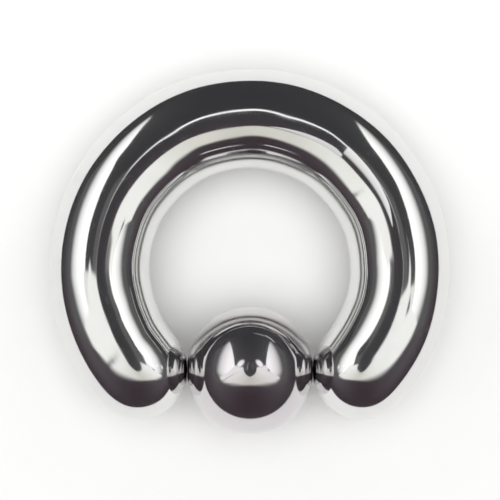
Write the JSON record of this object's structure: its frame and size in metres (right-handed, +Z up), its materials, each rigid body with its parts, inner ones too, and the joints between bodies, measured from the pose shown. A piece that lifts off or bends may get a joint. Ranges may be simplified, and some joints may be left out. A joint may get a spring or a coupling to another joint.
{
  "type": "captive bead ring",
  "caption": "Heavy captive bead ring: a round polished steel bar bent into an open ring, closed by a dimpled ball that turns between the bar's domed ends.",
  "frame": {"origin": "on the surface that the ring lies on, under the middle of its outline", "axes": "+Z up from that surface, +X along the line through the bar's domed ends and the bead, -Y towards the bead's side of the ring"},
  "size_m": [0.0254, 0.0232, 0.008],
  "materials": {
    "ring": "mirror polished surgical steel, with faint polishing waves and hairline scratches",
    "bead": "mirror polished surgical steel ball, a little smoother than the bar"
  },
  "bodies": {
    "ring": {"ring": "ring"},
    "bead": {"bead": "bead"}
  },
  "joints": [
    {"name": "bead_spin", "type": "hinge", "parent": "ring", "child": "bead", "pos_m": [0, -0.00757, 0.004], "axis": [1, 0, 0], "continuous": true}
  ]
}
